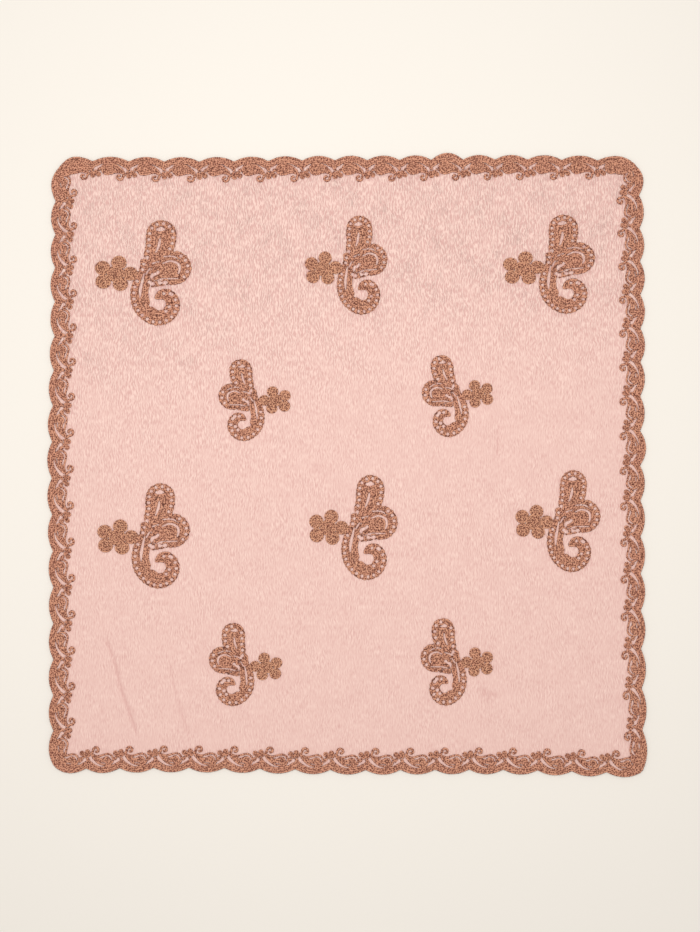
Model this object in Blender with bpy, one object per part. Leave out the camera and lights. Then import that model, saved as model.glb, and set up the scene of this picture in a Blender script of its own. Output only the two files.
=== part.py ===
"""Crepe bandana with a scalloped guipure lace edging and ten lace appliques.

It lies flat, face up: +X is its right, +Y its top edge and +Z up from the surface
below it. The origin is the middle of its underside. Sizes are in millimetres and
become metres in one place, MM.

The lace edging is four strips, mitred at the corners. Each strip is drawn in its own
frame: "s" runs along the strip and "t" runs in from the tips of its scallops. Two
runs start at the top right corner and two at the bottom left one, so the pattern
is mirrored at every corner.
"""
import math
from collections import namedtuple

import bmesh
import bpy
from mathutils import Matrix, Vector

MM = 0.001

# ---------------------------------------------------------------- driving sizes

CREPE_THICK = 1.0        # the square of cloth
LACE_THICK = 1.2         # edging and appliques
LAYER_GAP = 0.3          # between the cloth and what is sewn on it
CREPE_SETBACK = 1.5      # the cloth's edge lies this far inside the lace's edge
MITRE_GAP = 0.5          # between two strips of edging at a corner
WELD = 0.001             # points closer than this become one

SCALLOPS = 15            # full scallops on a side, between its two corner ones
SCALLOP_DEPTH = 4.4      # from the tips to the notches between scallops
SCALLOP_STEPS = 6        # straight steps in one scallop's curve on the lace
CREPE_STEPS = 4          # and on the cloth beneath it
PITCH = 32.5             # the length that one repeat of the lace is drawn at
MITRE_INNER = 17.5       # how far in the mitre ends
PROUD = {("top", 4): 2.2, ("right", 7): 1.4}   # scallops that stand out past their row

Corner = namedtuple("Corner", "x y kink")   # kink: where the mitre meets the edge
CORNERS = {
    "top_right": Corner(280.9, 290.3, 8.0),
    "top_left": Corner(-278.6, 289.8, 9.5),
    "bottom_left": Corner(-278.6, -289.7, 5.5),
    "bottom_right": Corner(281.4, -293.7, 5.0),
}

# lead_in, lead_out: from each corner to the nearest notch. shift: how far the
# pattern has crept along from the notches. reach: how deep it lies, against the
# drawn depth. spread: the scallops' relative length at five stations along the run.
# bow: how far the edge swings out at those stations.
Side = namedtuple("Side", "start end lead_in lead_out shift reach spread bow")
SIDES = {
    "top": Side("top_right", "top_left", 44.0, 38.8, 0.0, 1.0,
                (1.05, 0.93, 0.95, 1.02, 1.06), (0.0, 1.2, 0.6, -0.6, 0.0)),
    "right": Side("top_right", "bottom_right", 37.2, 44.6, -1.2, 0.94,
                  (0.93, 0.95, 0.98, 1.04, 1.15), (0.0, 0.2, -1.0, -1.2, 0.0)),
    "bottom": Side("bottom_left", "bottom_right", 34.9, 38.3, 1.8, 1.0,
                   (0.96, 1.02, 1.01, 0.98, 0.99), (0.0, -1.8, -0.7, -2.0, 0.0)),
    "left": Side("bottom_left", "top_left", 39.5, 42.2, 0.4, 1.0,
                 (1.00, 1.03, 1.04, 0.98, 0.95), (0.0, 0.4, 2.6, 0.3, 0.0)),
}

# ------------------------------------------------------ one repeat of the edging
# "a" is along the run from a notch, "t" in from the tips.

FIRST_BODY = (-10.5, 17.6)        # the paisley that the corner's solid block ends in
FLOWER = ((-7.3, 15.6), (-6.5, 18.9), (-5.4, 20.8), (-3.4, 18.2), (-0.9, 21.5),
          (1.3, 21.0), (-0.2, 18.0))
CURL_STEM = (3.9, 17.9)
CURL_CENTRE = (8.0, 20.9)
CURL_RADIUS = 3.6
CURL_TURN = (190.0, -65.0)        # degrees, from the stem round to the curl's end
CURL_STEPS = 4
CURL_SLIT = ((7.9, 19.2), (7.4, 21.8), (6.5, 18.4))
BODY_TOP = ((9.5, 16.3), (13.5, 16.2), (18.5, 18.0), (23.0, 17.6))
LAST_BODY_CUT = 2                 # points of it that the far mitre cuts off
LONG_GAP = ((1.3, 15.2), (3.8, 15.6), (5.6, 11.9), (16.5, 5.6), (8.6, 7.0), (1.2, 11.0))
SMALL_GAP = ((-5.8, 9.2), (-3.9, 13.2), (-0.9, 11.6))

# ------------------------------------------------------------------ the applique
# Limbs and slits are bands: a middle line with half the width at each point.

Rib = namedtuple("Rib", "x y half")
HOOK = (Rib(9.5, -22.5, 1.8), Rib(13.5, -20.0, 4.6), Rib(18.5, -19.8, 5.4),
        Rib(22.8, -24.5, 5.7), Rib(23.2, -31.8, 6.1), Rib(18.5, -39.0, 6.6),
        Rib(10.0, -41.4, 7.0), Rib(2.2, -37.0, 7.4), Rib(-3.2, -29.0, 7.8),
        Rib(-5.0, -19.0, 7.6), Rib(-3.6, -9.5, 7.0), Rib(-0.5, -1.0, 5.6),
        Rib(0.5, 7.5, 4.6), Rib(-1.0, 11.0, 3.0))
UPPER_LOBE = (Rib(3.5, 8.0, 4.6), Rib(7.5, 17.0, 8.5), Rib(13.0, 27.0, 12.6),
              Rib(14.6, 36.5, 12.8))
SIDE_LOBE = (Rib(3.0, 1.0, 4.0), Rib(13.0, 4.0, 11.5), Rib(21.0, 5.2, 14.8),
             Rib(25.8, 5.0, 15.0))
LOWER_LEAF = (Rib(4.0, -8.5, 4.2), Rib(14.0, -6.8, 4.6), Rib(24.0, -4.5, 5.8))
LINK = (Rib(-16.0, -0.6, 4.2), Rib(-3.0, -1.4, 4.4))
SLITS = {
    "crown": (Rib(10.6, 41.2, 1.0), Rib(13.7, 41.8, 2.0), Rib(16.9, 41.2, 1.0)),
    "seed": (Rib(13.4, 33.0, 0.8), Rib(12.8, 27.5, 1.4), Rib(10.8, 22.0, 0.6)),
    "crescent": (Rib(15.5, 9.0, 0.7), Rib(22.0, 11.4, 0.9), Rib(28.4, 8.8, 1.5),
                 Rib(29.6, 3.6, 1.1), Rib(26.4, 0.4, 0.6)),
    "leaf": (Rib(4.6, -3.6, 0.7), Rib(8.0, -0.8, 1.8), Rib(13.0, -0.9, 1.1),
             Rib(20.0, -0.3, 0.6)),
    "vein": (Rib(0.8, 2.0, 0.6), Rib(-1.6, -8.0, 1.3), Rib(-3.2, -15.0, 1.5),
             Rib(-3.6, -22.0, 0.6)),
}
FLOWER_CENTRE = (-25.3, -0.3)
FLOWER_HEART = 9.0
FLOWER_PETALS = 5
PETAL_RADIUS = 6.5
PETAL_REACH = 10.8
FIRST_PETAL = 75.0
PETAL_STEPS = 9
STRAIGHTEN = 13.0        # degrees; gentler bends than this lose their corner
DRAWN_WIDTH = 81.5       # the size that the applique is drawn at
DRAWN_HEIGHT = 98.0

# x, y: middle of the applique. turn: degrees, anticlockwise.
Spot = namedtuple("Spot", "name x y width height mirrored turn")
SPOTS = (
    Spot("applique_top_left", -190.1, 178.7, 90.0, 99.0, False, 1.0),
    Spot("applique_top_middle", 1.4, 185.3, 77.0, 93.0, False, 5.0),
    Spot("applique_top_right", 192.9, 185.9, 86.0, 93.0, False, 6.0),
    Spot("applique_upper_left", -87.6, 59.0, 67.0, 76.5, True, 0.0),
    Spot("applique_upper_right", 103.4, 63.5, 66.0, 77.0, True, 4.0),
    Spot("applique_centre_left", -188.9, -69.2, 86.0, 98.0, False, 2.0),
    Spot("applique_centre", 7.9, -60.9, 82.0, 98.0, False, 0.0),
    Spot("applique_centre_right", 200.0, -55.2, 79.0, 95.0, False, 1.5),
    Spot("applique_lower_left", -96.0, -189.8, 68.0, 77.0, True, -4.0),
    Spot("applique_lower_right", 102.2, -186.7, 67.0, 81.0, True, -0.5),
)


# -------------------------------------------------------------------- materials

PINK = (0.87, 0.56, 0.51)
ROSEWOOD = (0.42, 0.20, 0.14)


def cloth_material(name, color, roughness):
    """A plain Principled material for one kind of cloth."""
    material = bpy.data.materials.new(name)
    material.use_nodes = True
    shader = material.node_tree.nodes["Principled BSDF"]
    shader.inputs["Base Color"].default_value = (*color, 1.0)
    shader.inputs["Roughness"].default_value = roughness
    shader.inputs["Metallic"].default_value = 0.0
    return material


# --------------------------------------------------------------- shared geometry

def blend_stations(values, u):
    """Smoothly read a row of evenly spaced values at u, from 0 to 1."""
    place = min(max(u, 0.0), 1.0) * (len(values) - 1)
    left = min(int(place), len(values) - 2)
    ease = 0.5 - 0.5 * math.cos(math.pi * (place - left))
    return values[left] * (1.0 - ease) + values[left + 1] * ease


def smooth_ribs(ribs, steps):
    """Points of a smooth line through the ribs, each with its half width."""
    ends = [2 * Vector(ribs[0]) - Vector(ribs[1]), 2 * Vector(ribs[-1]) - Vector(ribs[-2])]
    knots = [ends[0], *map(Vector, ribs), ends[1]]
    points = []
    for before, here, after, beyond in zip(knots, knots[1:], knots[2:], knots[3:]):
        for step in range(steps):
            f = step / steps
            points.append(0.5 * (2 * here + (after - before) * f
                                 + (2 * before - 5 * here + 4 * after - beyond) * f * f
                                 + (3 * here - before - 3 * after + beyond) * f ** 3))
    return points + [Vector(ribs[-1])]


def band_outline(ribs, steps, cap_steps):
    """The closed outline of a band with round ends."""
    points = smooth_ribs(ribs, steps)
    left, right, headings = [], [], []
    for index, point in enumerate(points):
        ahead = points[min(index + 1, len(points) - 1)]
        behind = points[max(index - 1, 0)]
        heading = math.atan2(ahead.y - behind.y, ahead.x - behind.x)
        headings.append(heading)
        side = Vector((-math.sin(heading), math.cos(heading))) * point.z
        left.append(point.to_2d() + side)
        right.append(point.to_2d() - side)
    far_cap = arc(points[-1].to_2d(), points[-1].z, math.degrees(headings[-1]) - 90,
                  math.degrees(headings[-1]) + 90, cap_steps)
    near_cap = arc(points[0].to_2d(), points[0].z, math.degrees(headings[0]) + 90,
                   math.degrees(headings[0]) + 270, cap_steps)
    return right[:-1] + far_cap + left[-2:0:-1] + near_cap


def arc(centre, radius, start, end, steps):
    """Points along a round stretch, both ends included; angles in degrees."""
    points = []
    for step in range(steps + 1):
        angle = math.radians(start + (end - start) * step / steps)
        points.append(Vector(centre) + radius * Vector((math.cos(angle), math.sin(angle))))
    return points


def add_flat(name, loops, bottom, thickness, collection):
    """A flat piece: its first loop is the outline and the others are holes in it."""
    curve = bpy.data.curves.new(name, "CURVE")
    curve.dimensions = "2D"
    curve.fill_mode = "BOTH"
    curve.extrude = thickness / 2 * MM
    for loop in loops:
        spline = curve.splines.new("POLY")
        spline.points.add(len(loop) - 1)
        for target, point in zip(spline.points, loop):
            target.co = (point[0] * MM, point[1] * MM, 0.0, 1.0)
        spline.use_cyclic_u = True
    flat = bpy.data.objects.new(name, curve)
    flat.location.z = (bottom + thickness / 2) * MM
    collection.objects.link(flat)
    return flat


def as_mesh(flat):
    """Replace a flat curve with a welded mesh object of the same name and place."""
    evaluated = flat.evaluated_get(bpy.context.evaluated_depsgraph_get())
    name, matrix = flat.name, evaluated.matrix_world.copy()
    collection = flat.users_collection[0]
    mesh = bpy.data.meshes.new_from_object(evaluated)
    bpy.data.objects.remove(flat)
    form = bmesh.new()
    form.from_mesh(mesh)
    bmesh.ops.remove_doubles(form, verts=form.verts, dist=WELD * MM)
    bmesh.ops.recalc_face_normals(form, faces=form.faces)
    form.to_mesh(mesh)
    form.free()
    solid = bpy.data.objects.new(name, mesh)
    solid.matrix_world = matrix
    collection.objects.link(solid)
    return solid


# ------------------------------------------------------------------- the edging

class Edge:
    """One side of the bandana: turns strip coordinates into places on it."""

    def __init__(self, name):
        self.name = name
        self.side = SIDES[name]
        self.first = CORNERS[self.side.start]
        self.last = CORNERS[self.side.end]
        self.origin = Vector((self.first.x, self.first.y))
        line = Vector((self.last.x, self.last.y)) - self.origin
        self.length = line.length
        self.along = line.normalized()
        inward = Vector((-self.along.y, self.along.x))
        if inward.dot(self.origin) > 0.0:
            inward.negate()
        self.inward = inward
        self.notches = self.place_notches()

    def place_notches(self):
        """Where the notches between scallops fall along the run."""
        weights = [blend_stations(self.side.spread, (index + 0.5) / SCALLOPS)
                   for index in range(SCALLOPS)]
        scale = (self.length - self.side.lead_in - self.side.lead_out) / sum(weights)
        notches = [self.side.lead_in]
        for weight in weights:
            notches.append(notches[-1] + weight * scale)
        return notches

    def place(self, s, t):
        """The point that lies s along the strip and t in from its tips."""
        swing = blend_stations(self.side.bow, s / self.length)
        return self.origin + self.along * s + self.inward * (t - swing)

    def repeat_place(self, index, a, t):
        """A point of the drawn repeat at the notch of that index."""
        pitches = [after - before for before, after in zip(self.notches, self.notches[1:])]
        pitch = pitches[min(max(index - (a < 0.0), 0), SCALLOPS - 1)]
        s = self.notches[index] + self.side.shift + a * pitch / PITCH
        return self.place(s, t * self.side.reach)

    def tip_line(self, steps, setback=0.0):
        """Strip coordinates along the scallops, from mitre to mitre."""
        points = self.corner_scallop(self.side.lead_in, self.first.kink, steps, setback)
        for index in range(SCALLOPS):
            start, end = self.notches[index], self.notches[index + 1]
            swell = PROUD.get((self.name, index), 0.0)
            for step in range(1, steps + 1):
                across = 2.0 * step / steps - 1.0
                drop = SCALLOP_DEPTH * across ** 2 - swell * (1.0 - across ** 2)
                points.append((start + (end - start) * step / steps, drop + setback))
        far = self.corner_scallop(self.side.lead_out, self.last.kink, steps, setback)
        points += [(self.length - s, t) for s, t in reversed(far[:-1])]
        return points

    @staticmethod
    def corner_scallop(lead, kink, steps, setback):
        """Half of a corner's scallop, from the mitre to the first notch."""
        tip = 0.5 * (lead + kink)
        points = []
        for step in range(steps + 1):
            s = kink + (lead - kink) * step / steps
            fall = kink if s < tip else SCALLOP_DEPTH
            points.append((s, fall * ((s - tip) / (lead - tip)) ** 2 + setback))
        points[0] = (kink + setback, kink + setback)
        return points


def repeat_inner_line():
    """The inner edge of one repeat: flower, curl, then the top of the paisley."""
    curl = [CURL_STEM, *arc(CURL_CENTRE, CURL_RADIUS, *CURL_TURN, CURL_STEPS), *CURL_SLIT]
    return [*FLOWER, *curl, *BODY_TOP]


def edging_loops(edge):
    """The outline of one strip of edging and the gaps in it."""
    shift = MITRE_GAP / math.sqrt(2.0)
    outer = edge.tip_line(SCALLOP_STEPS)
    outer[0] = (outer[0][0] + shift, outer[0][1])
    outer[-1] = (outer[-1][0] - shift, outer[-1][1])
    outline = [edge.place(s, t) for s, t in outer]

    inner = [edge.place(MITRE_INNER + shift, MITRE_INNER),
             edge.repeat_place(0, *FIRST_BODY)]
    for index in range(SCALLOPS + 1):
        drawn = repeat_inner_line()
        if index == SCALLOPS:
            drawn = drawn[:-LAST_BODY_CUT]
        inner += [edge.repeat_place(index, a, t) for a, t in drawn]
    inner.append(edge.place(edge.length - MITRE_INNER - shift, MITRE_INNER))
    outline += reversed(inner)

    loops = [outline]
    for index in range(SCALLOPS + 1):
        for gap in (LONG_GAP, SMALL_GAP):
            loops.append([edge.repeat_place(index, a, t) for a, t in gap])
    return loops


def add_edging(edge, material, collection):
    """One strip of lace, laid on the margin of the cloth."""
    strip = as_mesh(add_flat("lace_" + edge.name, edging_loops(edge),
                             CREPE_THICK + LAYER_GAP, LACE_THICK, collection))
    strip.data.materials.append(material)
    return strip


def add_crepe(edges, material, collection):
    """The square of crepe, a little smaller than the lace that edges it."""
    outline = []
    for name, forward in (("top", True), ("left", False), ("bottom", True), ("right", False)):
        line = [edges[name].place(s, t)
                for s, t in edges[name].tip_line(CREPE_STEPS, CREPE_SETBACK)]
        outline += (line if forward else line[::-1])[:-1]
    crepe = as_mesh(add_flat("crepe_panel", [outline], 0.0, CREPE_THICK, collection))
    crepe.data.materials.append(material)
    return crepe


# ----------------------------------------------------------------- the appliques

def limb_outlines():
    """Outlines of the limbs and petals that make up one applique."""
    limbs = {
        "hook": band_outline(HOOK, steps=2, cap_steps=3),
        "upper_lobe": band_outline(UPPER_LOBE, steps=1, cap_steps=6),
        "side_lobe": band_outline(SIDE_LOBE, steps=1, cap_steps=6),
        "lower_leaf": band_outline(LOWER_LEAF, steps=1, cap_steps=2),
        "link": band_outline(LINK, steps=1, cap_steps=2),
        "heart": arc(FLOWER_CENTRE, FLOWER_HEART, 0.0, 360.0, PETAL_STEPS)[:-1],
    }
    for index in range(FLOWER_PETALS):
        angle = FIRST_PETAL + index * 360.0 / FLOWER_PETALS
        out = Vector((math.cos(math.radians(angle)), math.sin(math.radians(angle))))
        centre = Vector(FLOWER_CENTRE) + out * PETAL_REACH
        limbs[f"petal_{index}"] = arc(centre, PETAL_RADIUS, angle, angle + 360.0,
                                      PETAL_STEPS)[:-1]
    return limbs


def applique_mesh(workshop):
    """One applique as a mesh: its limbs joined and its slits cut through."""
    limbs = limb_outlines()
    solid = as_mesh(add_flat("applique_pattern", [limbs.pop("hook")], 0.0, LACE_THICK,
                             workshop))
    tools = []
    for name, outline in limbs.items():
        limb = as_mesh(add_flat(name, [outline], 0.0, LACE_THICK, workshop))
        tools.append((limb, "UNION"))
    for name, ribs in SLITS.items():
        slit = as_mesh(add_flat(name, [band_outline(ribs, steps=1, cap_steps=2)],
                                -LACE_THICK, 3 * LACE_THICK, workshop))
        tools.append((slit, "DIFFERENCE"))
    for tool, operation in tools:
        modifier = solid.modifiers.new(tool.name, "BOOLEAN")
        modifier.operation = operation
        modifier.object = tool
        tool.hide_render = True
        tool.display_type = "WIRE"
    evaluated = solid.evaluated_get(bpy.context.evaluated_depsgraph_get())
    mesh = bpy.data.meshes.new_from_object(evaluated)
    form = bmesh.new()
    form.from_mesh(mesh)
    form.transform(evaluated.matrix_world)
    bmesh.ops.dissolve_limit(form, angle_limit=math.radians(STRAIGHTEN), verts=form.verts,
                             edges=form.edges)
    bmesh.ops.triangulate(form, faces=form.faces)
    form.to_mesh(mesh)
    form.free()
    solid.hide_render = True
    solid.display_type = "WIRE"
    return mesh


def add_applique(spot, pattern, material, collection):
    """One applique, at its own size and place; the small ones are mirrored."""
    mesh = pattern.copy()
    flip = -1.0 if spot.mirrored else 1.0
    size = Matrix.Diagonal((flip * spot.width / DRAWN_WIDTH, spot.height / DRAWN_HEIGHT,
                            1.0, 1.0))
    mesh.transform(size)
    if spot.mirrored:
        mesh.flip_normals()
    applique = bpy.data.objects.new(spot.name, mesh)
    applique.location = (spot.x * MM, spot.y * MM, (CREPE_THICK + LAYER_GAP) * MM)
    applique.rotation_euler.z = math.radians(spot.turn)
    mesh.materials.clear()
    mesh.materials.append(material)
    collection.objects.link(applique)
    return applique


# -------------------------------------------------------------------- the whole

def clear_scene():
    for item in list(bpy.data.objects):
        bpy.data.objects.remove(item)


def new_collection(name):
    collection = bpy.data.collections.new(name)
    bpy.context.scene.collection.children.link(collection)
    return collection


def main():
    clear_scene()
    bandana = new_collection("bandana")
    workshop = new_collection("bandana_cutters")
    pink_crepe = cloth_material("pink_crepe", PINK, 0.85)
    rosewood_lace = cloth_material("rosewood_lace", ROSEWOOD, 0.8)

    edges = {name: Edge(name) for name in SIDES}
    add_crepe(edges, pink_crepe, bandana)
    for edge in edges.values():
        add_edging(edge, rosewood_lace, bandana)
    pattern = applique_mesh(workshop)
    for spot in SPOTS:
        add_applique(spot, pattern, rosewood_lace, bandana)


main()
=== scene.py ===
"""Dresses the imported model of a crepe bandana: puckered cloth and guipure lace.

+X is the bandana's right, +Y its top edge and +Z up from what it lies on. Blender's
units are metres; the sizes in the tables below are millimetres and become metres in one
place, MM. The tables draw the pattern of the CAD source with more detail in it.
"""
import math
from collections import namedtuple
from functools import partial

import bmesh
import bpy
import numpy as np
from bpy.props import FloatProperty, FloatVectorProperty, PointerProperty
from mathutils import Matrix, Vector
from mathutils.geometry import delaunay_2d_cdt


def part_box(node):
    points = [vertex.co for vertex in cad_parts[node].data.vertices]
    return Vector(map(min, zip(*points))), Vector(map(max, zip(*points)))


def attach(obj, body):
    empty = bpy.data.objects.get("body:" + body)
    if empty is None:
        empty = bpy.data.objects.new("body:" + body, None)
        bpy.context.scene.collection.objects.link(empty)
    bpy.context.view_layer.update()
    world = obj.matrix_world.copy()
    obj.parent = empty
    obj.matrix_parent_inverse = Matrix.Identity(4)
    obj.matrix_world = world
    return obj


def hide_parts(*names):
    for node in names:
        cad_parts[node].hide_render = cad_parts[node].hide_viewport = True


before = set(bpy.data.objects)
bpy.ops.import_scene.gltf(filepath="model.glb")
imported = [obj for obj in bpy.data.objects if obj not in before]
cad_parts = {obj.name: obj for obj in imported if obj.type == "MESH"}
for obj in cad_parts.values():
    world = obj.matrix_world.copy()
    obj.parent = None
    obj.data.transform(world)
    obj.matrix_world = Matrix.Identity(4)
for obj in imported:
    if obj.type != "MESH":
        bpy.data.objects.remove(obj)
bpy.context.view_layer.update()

bl_info = {
    "name": "Lace-edged Crepe Bandana",
    "version": (1, 0, 0),
    "blender": (4, 5, 0),
    "location": "3D View > Sidebar > Bandana",
    "description": "Makes the puckered cloth, the lace edging and the lace appliques",
    "category": "Object",
}

MM = 0.001
SEED = 79

# ---- the edging's driving sizes

CREPE_HALF = 280.0       # from the middle of the cloth to about its edge
CREPE_SETBACK = 1.5      # the cloth's edge lies this far inside the lace's edge
SCALLOPS = 15            # full scallops on a side, between its two corner ones
SCALLOP_DEPTH = 4.4      # from the tips to the notches between scallops
SCALLOP_STEPS = 14       # straight steps in one scallop's curve
PITCH = 32.5             # the length that one repeat of the lace is drawn at
MITRE_INNER = 17.5       # how far in the mitre ends
PROUD = {("top", 4): 2.2, ("right", 7): 1.4}   # scallops that stand out past their row
BOX_SLACK = 5.0          # the most that a piece may differ from its CAD solid's box

# kink_x, kink_y: how far in from the corner the edge of the lace is nicked.
Corner = namedtuple("Corner", "x y kink_x kink_y")
CORNERS = {
    "top_right": Corner(280.9, 290.3, 8.0, 8.0),
    "top_left": Corner(-278.6, 289.8, 6.4, 11.0),
    "bottom_left": Corner(-278.6, -289.7, 5.5, 5.5),
    "bottom_right": Corner(281.4, -293.7, 5.0, 5.0),
}

# lead_in, lead_out: from each corner to the nearest notch. shift: how far the pattern
# has crept along from the notches. last: how many points of the band's inner line the
# last repeat has, before its body closes the gap. close: how far the gaps are narrowed,
# which closes the slits as well. At five stations along the run, spread: the scallops'
# relative length, bow: how far the edge swings out, reach: how deep the pattern lies,
# against the drawn depth.
Side = namedtuple("Side", "start end lead_in lead_out shift last close spread bow reach")
SIDES = {
    "top": Side("top_right", "top_left", 44.0, 38.8, 0.0, 5, 1.2,
                (1.05, 0.93, 0.95, 1.02, 1.06), (0.0, 1.2, 0.6, -0.6, 0.0),
                (0.87, 0.97, 1.0, 0.97, 0.87)),
    "right": Side("top_right", "bottom_right", 37.2, 44.6, -2.6, 8, 0.0,
                  (0.93, 0.95, 0.98, 1.04, 1.15), (-0.8, 0.0, -1.0, -1.2, 0.0),
                  (1.05, 0.98, 0.94, 0.92, 0.84)),
    "bottom": Side("bottom_left", "bottom_right", 34.9, 38.3, 1.3, 9, 0.0,
                   (0.96, 1.02, 1.01, 0.98, 0.99), (0.0, -1.8, -0.7, -2.0, 0.0),
                   (1.0, 1.0, 1.0, 1.0, 1.0)),
    "left": Side("bottom_left", "top_left", 39.5, 42.2, 0.4, 5, 0.0,
                 (1.00, 1.03, 1.04, 0.98, 0.95), (0.0, 0.4, 2.6, 0.3, 0.0),
                 (1.0, 1.0, 1.0, 1.0, 1.0)),
}

# One repeat of the edging: each place is given along the run from a notch, then in from
# the tips. A band is drawn through ribs: a place, then half the band's width there.
BODY = ((4.0, 17.0, 1.3), (7.8, 14.0, 2.7), (12.8, 12.3, 4.8), (19.2, 12.3, 6.2))
BODY_SLITS = (
    ((12.0, 14.2, 0.5), (14.2, 14.6, 0.9), (16.4, 15.6, 0.5)),
    ((13.0, 9.2, 0.4), (15.0, 8.8, 0.6), (17.2, 8.6, 0.4)),
    ((18.0, 16.4, 0.5), (22.0, 15.6, 1.1), (23.4, 12.2, 0.6)),
)
BAND_INNER = ((-9.5, 15.6), (-7.3, 15.2), (-4.5, 15.2), (-1.2, 15.9), (1.0, 15.6), (2.0, 11.6),
              (5.6, 8.8), (9.2, 6.7), (13.0, 5.6), (15.6, 5.7), (17.4, 7.8), (21.0, 8.6),
              (23.5, 11.4))
BAND_CLOSE = (13.5, 12.3)
GAP_ACROSS = (0.4, 0.8)  # the way across the gap, from the band to the body
SMALL_GAP = ((-8.2, 7.6, 0.3), (-6.6, 8.9, 0.6), (-5.0, 10.2, 0.9), (-3.4, 11.5, 1.4),
             (-1.6, 12.0, 0.8))
PETALS = ((-5.5, 18.3, 2.4), (-0.2, 19.4, 2.5), (-3.0, 16.2, 2.3), (0.8, 16.3, 1.8))
CURL_STEM = ((2.4, 17.6), (3.6, 18.2))
CURL_CENTRE = (8.1, 21.0)
CURL_RADII = (3.1, 2.9, 2.7, 2.5, 2.3, 1.6, 0.9)
CURL_TURN = (200.0, -130.0)
CURL_HALF = 1.2
CURL_HEIGHT = 1.1
CURL_GROUND = 1.1        # half width of the ground below a curl
PETAL_FINE = 0.72        # stitches of the edging's petals, against the usual ones
BAND_LEAD = 13.0         # the band's inner line starts this far before the first notch
ROWS_PAST_MITRE = 0.9    # how far the rows run on past the ground at a mitre
GROUND_INSET = 0.45      # from the lace's edge in to that of its ground

# ---- the applique's driving sizes

HOOK = ((9.5, -22.5, 1.8), (13.5, -20.0, 4.6), (18.5, -19.8, 5.4), (22.8, -24.5, 5.7),
        (23.2, -31.8, 6.1), (18.5, -39.0, 6.6), (10.0, -41.4, 7.0), (2.2, -37.0, 7.4),
        (-3.2, -29.0, 7.8), (-5.0, -19.0, 7.6), (-3.6, -9.5, 7.0), (-0.5, -1.0, 5.6),
        (0.5, 7.5, 4.6), (-1.0, 11.0, 3.0))
UPPER_LOBE = ((3.5, 8.0, 4.6), (7.5, 17.0, 8.5), (13.0, 27.0, 12.6), (14.6, 37.1, 12.9))
SIDE_LOBE = ((3.0, 1.0, 4.0), (13.0, 4.0, 11.5), (21.0, 5.4, 16.2), (24.0, 5.4, 15.9))
LOWER_LEAF = ((4.0, -8.5, 4.2), (14.0, -6.8, 4.6), (24.0, -4.5, 5.8))
LINK = ((-16.0, -0.6, 4.2), (-3.0, -1.4, 4.4))
SCROLL = {"hook": HOOK, "upper": UPPER_LOBE, "side": SIDE_LOBE, "leaf": LOWER_LEAF,
          "link": LINK}
SLITS = (
    # the eye in the crown
    ((10.8, 41.4, 1.2), (13.8, 41.9, 2.4), (17.0, 41.4, 1.2)),
    # the long seed below it
    ((13.4, 33.0, 0.8), (12.4, 27.0, 1.3), (9.6, 20.0, 0.7)),
    # the crescent in the side lobe
    ((15.5, 9.6, 0.7), (22.0, 11.8, 0.9), (28.6, 8.8, 1.2),
     (29.7, 3.6, 1.1), (28.4, -0.4, 0.7)),
    # the leaf under it
    ((4.8, -4.4, 0.8), (6.6, -1.2, 1.6), (11.4, 0.6, 1.1)),
    # the vein down the hook's stem
    ((-0.6, 0.6, 0.6), (-2.6, -8.0, 1.2), (-4.0, -15.0, 1.4),
     (-4.4, -22.0, 0.7)),
    # the fine ones between the lobes
    ((15.6, 16.0, 0.6), (23.6, 16.2, 0.8), (30.4, 12.8, 0.6)),
    ((8.4, -6.6, 0.6), (15.4, -4.9, 0.85), (28.4, -4.8, 0.6)),
    ((4.4, 5.2, 0.6), (2.2, 2.0, 0.8), (0.8, -0.6, 0.6)),
    ((2.4, 8.2, 0.6), (7.4, 10.0, 0.8), (12.4, 11.4, 0.6)),
)
FLOWER_HEART = (-25.0, 0.6, 7.6)
FLOWER_PETALS = ((-22.0, 10.8, 6.5), (-36.0, 6.3, 6.5), (-35.6, -6.4, 6.6), (-21.0, -9.0, 6.4),
                 (-12.6, 0.5, 6.4))
EYELET = 1.65            # radius of the hole
EYELET_DEPTH = 3.0       # from the rim to its middle
EYELET_PITCH = 5.4
LONE_EYELETS = ((16.0, -18.6), (21.2, -18.8), (20.6, -31.0), (17.6, -35.4), (4.6, -29.4),
                (11.4, 1.6))
HOLLOW = (9.5, -26.0, 13.5)    # the hook's hollow and its side, which has no eyelets
PICOT = 2.0              # radius of the small rounds that the edge is made of
PICOT_DEPTH = 1.45       # from the drawn edge in to their middles
PICOT_PITCH = 3.9
FLOWER_FINE = 0.75       # stitches of the flowers, against the usual ones
FLOWER_TAN = 0.6         # how tan the flowers are, and the scroll
SCROLL_TAN = 0.1
SMALL_STRETCH = 0.82     # size of the small appliques, against the drawn one
DRAWN_WIDTH = 81.5
DRAWN_HEIGHT = 98.0

# x, y: middle of the applique. turn: degrees, anticlockwise.
Spot = namedtuple("Spot", "name x y width height mirrored turn")
SPOTS = (
    Spot("applique_top_left", -190.1, 178.7, 90.0, 99.0, False, 1.0),
    Spot("applique_top_middle", 1.4, 185.3, 77.0, 93.0, False, 5.0),
    Spot("applique_top_right", 192.9, 185.9, 86.0, 93.0, False, 6.0),
    Spot("applique_upper_left", -87.6, 59.0, 67.0, 76.5, True, 0.0),
    Spot("applique_upper_right", 103.4, 63.5, 66.0, 77.0, True, 4.0),
    Spot("applique_centre_left", -188.9, -69.2, 86.0, 98.0, False, 2.0),
    Spot("applique_centre", 7.9, -60.9, 82.0, 98.0, False, 0.0),
    Spot("applique_centre_right", 200.0, -55.2, 79.0, 95.0, False, 1.5),
    Spot("applique_lower_left", -96.0, -189.8, 68.0, 77.0, True, -4.0),
    Spot("applique_lower_right", 102.2, -186.7, 67.0, 81.0, True, -0.5),
)

# ---- how it is made

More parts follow.
